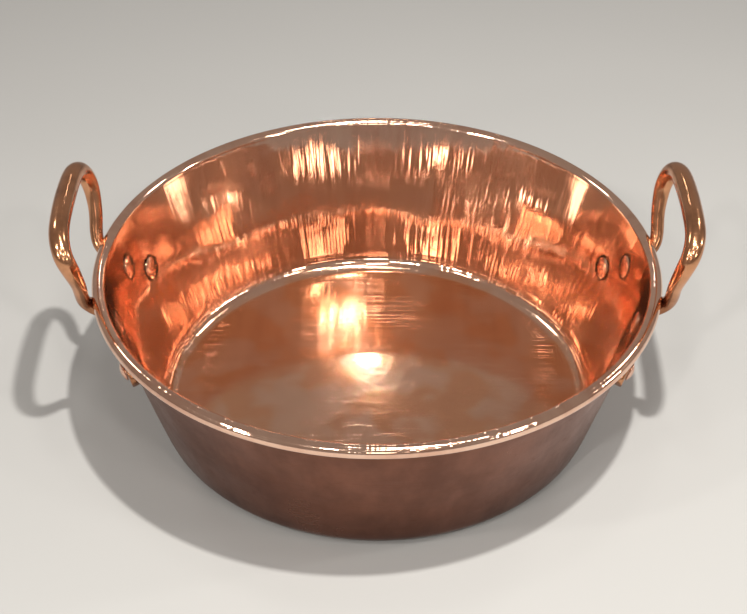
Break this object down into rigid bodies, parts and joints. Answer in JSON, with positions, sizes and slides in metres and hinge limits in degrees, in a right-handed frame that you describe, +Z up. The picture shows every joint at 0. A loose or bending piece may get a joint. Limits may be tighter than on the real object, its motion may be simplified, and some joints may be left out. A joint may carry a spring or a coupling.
{
  "type": "two-handled preserving pan",
  "caption": "Wide shallow copper preserving pan with flared wall, wired rolled rim and riveted loop handles standing up on both sides.",
  "frame": {"origin": "centre of the underside, on the surface the pan stands on", "axes": "+Z up, the two handles stand on the +X and -X sides, +Y towards the rear"},
  "size_m": [0.4186, 0.38, 0.1749],
  "materials": {
    "pan_copper": "polished copper sheet, lightly scratched and tarnished",
    "handle_bronze": "polished bronze-brown forged bar",
    "rivet_copper": "hammered copper",
    "rim_wire_iron": "drawn iron wire"
  },
  "bodies": {
    "root": {"pan_body": "pan_copper", "rim_wire": "rim_wire_iron", "handle_right": "handle_bronze", "handle_left": "handle_bronze", "rivet_right_front_upper": "rivet_copper", "rivet_right_front_lower": "rivet_copper", "rivet_right_rear_upper": "rivet_copper", "rivet_right_rear_lower": "rivet_copper", "rivet_left_front_upper": "rivet_copper", "rivet_left_front_lower": "rivet_copper", "rivet_left_rear_upper": "rivet_copper", "rivet_left_rear_lower": "rivet_copper"}
  },
  "joints": []
}
